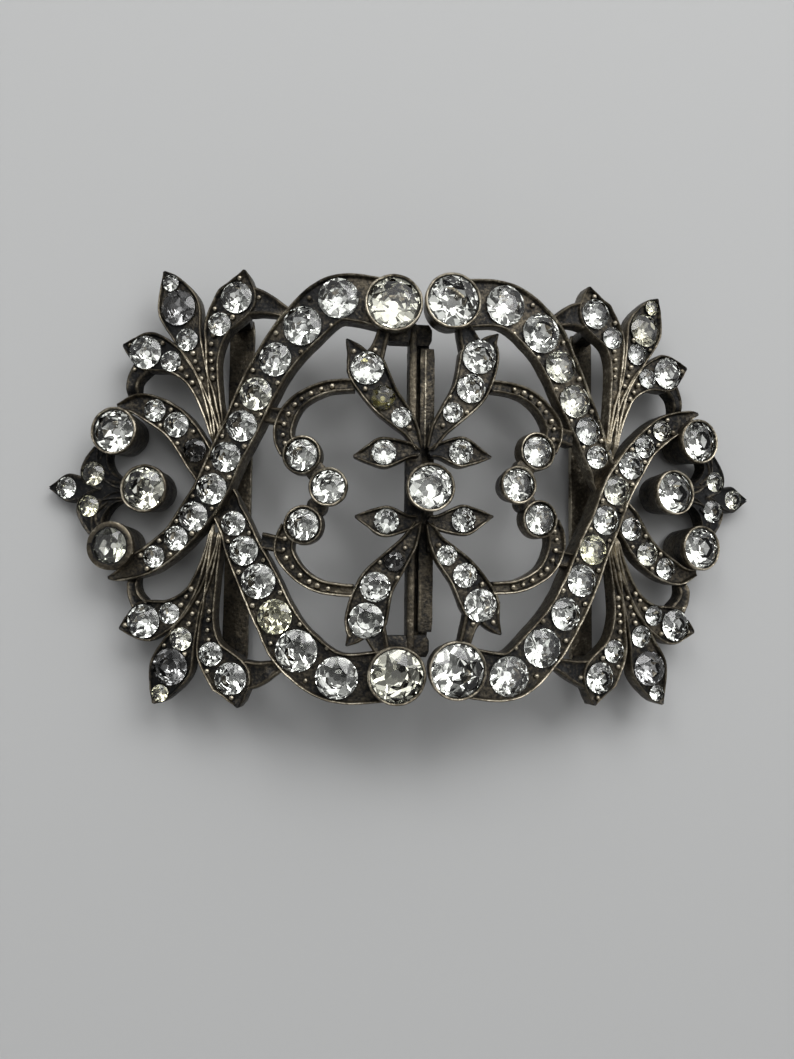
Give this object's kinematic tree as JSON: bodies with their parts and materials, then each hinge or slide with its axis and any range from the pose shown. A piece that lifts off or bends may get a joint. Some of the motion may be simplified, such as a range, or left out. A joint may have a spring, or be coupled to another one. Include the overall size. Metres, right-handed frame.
{
  "type": "rhinestone buckle",
  "caption": "Antique two-part belt clasp, hooked together: pierced oxidised silver ribbons, leaf sprays and scrolls set with faceted paste stones, with a belt bar behind each half.",
  "frame": {"origin": "middle of the resting plane, under the middle of the fastened clasp", "axes": "+X along the clasp from the left half to the right half, +Y up across it as it is worn, +Z out of the jewelled face"},
  "size_m": [0.09, 0.0526, 0.0138],
  "materials": {
    "silver": "cast silver, oxidised nearly black in its hollows and worn warm and bright on its rims",
    "clear_paste": "cut lead glass backed with foil",
    "tinted_paste": "yellowed cut lead glass backed with foil"
  },
  "bodies": {
    "root": {"left_half": "silver", "right_half": "silver", "left_top_stone": "clear_paste", "left_bottom_stone": "clear_paste", "left_upper_outer_stone": "clear_paste", "left_lower_outer_stone": "clear_paste", "left_middle_outer_stone": "tinted_paste", "left_scroll_stone": "clear_paste", "right_top_stone": "clear_paste", "right_bottom_stone": "clear_paste", "right_upper_outer_stone": "clear_paste", "right_lower_outer_stone": "clear_paste", "right_middle_outer_stone": "clear_paste", "right_scroll_stone": "clear_paste", "centre_stone": "clear_paste", "left_over_stone_1": "clear_paste", "left_over_stone_2": "clear_paste", "left_over_stone_3": "clear_paste", "left_over_stone_4": "clear_paste", "left_over_stone_5": "clear_paste", "left_over_stone_6": "clear_paste", "left_over_stone_7": "clear_paste", "right_over_stone_1": "clear_paste", "right_over_stone_2": "clear_paste", "right_over_stone_3": "clear_paste", "right_over_stone_4": "clear_paste", "right_over_stone_5": "tinted_paste", "right_over_stone_6": "clear_paste", "right_over_stone_7": "clear_paste", "left_under_stone_1": "clear_paste", "left_under_stone_2": "clear_paste", "left_under_stone_3": "tinted_paste", "left_under_stone_4": "clear_paste", "left_under_stone_5": "clear_paste", "left_under_stone_6": "clear_paste", "right_under_stone_1": "clear_paste", "right_under_stone_2": "clear_paste", "right_under_stone_3": "clear_paste", "right_under_stone_4": "clear_paste", "right_under_stone_5": "clear_paste", "right_under_stone_6": "clear_paste", "left_tail_stones": "clear_paste", "right_tail_stones": "clear_paste", "left_upper_spray_stones": "clear_paste", "left_lower_spray_stones": "clear_paste", "left_fleur_stones": "clear_paste", "left_upper_leaf_stones": "clear_paste", "left_lower_leaf_stones": "clear_paste", "left_scroll_end_stones": "clear_paste", "right_upper_spray_stones": "clear_paste", "right_lower_spray_stones": "clear_paste", "right_fleur_stones": "clear_paste", "right_upper_leaf_stones": "clear_paste", "right_lower_leaf_stones": "clear_paste", "right_scroll_end_stones": "clear_paste"}
  },
  "joints": []
}
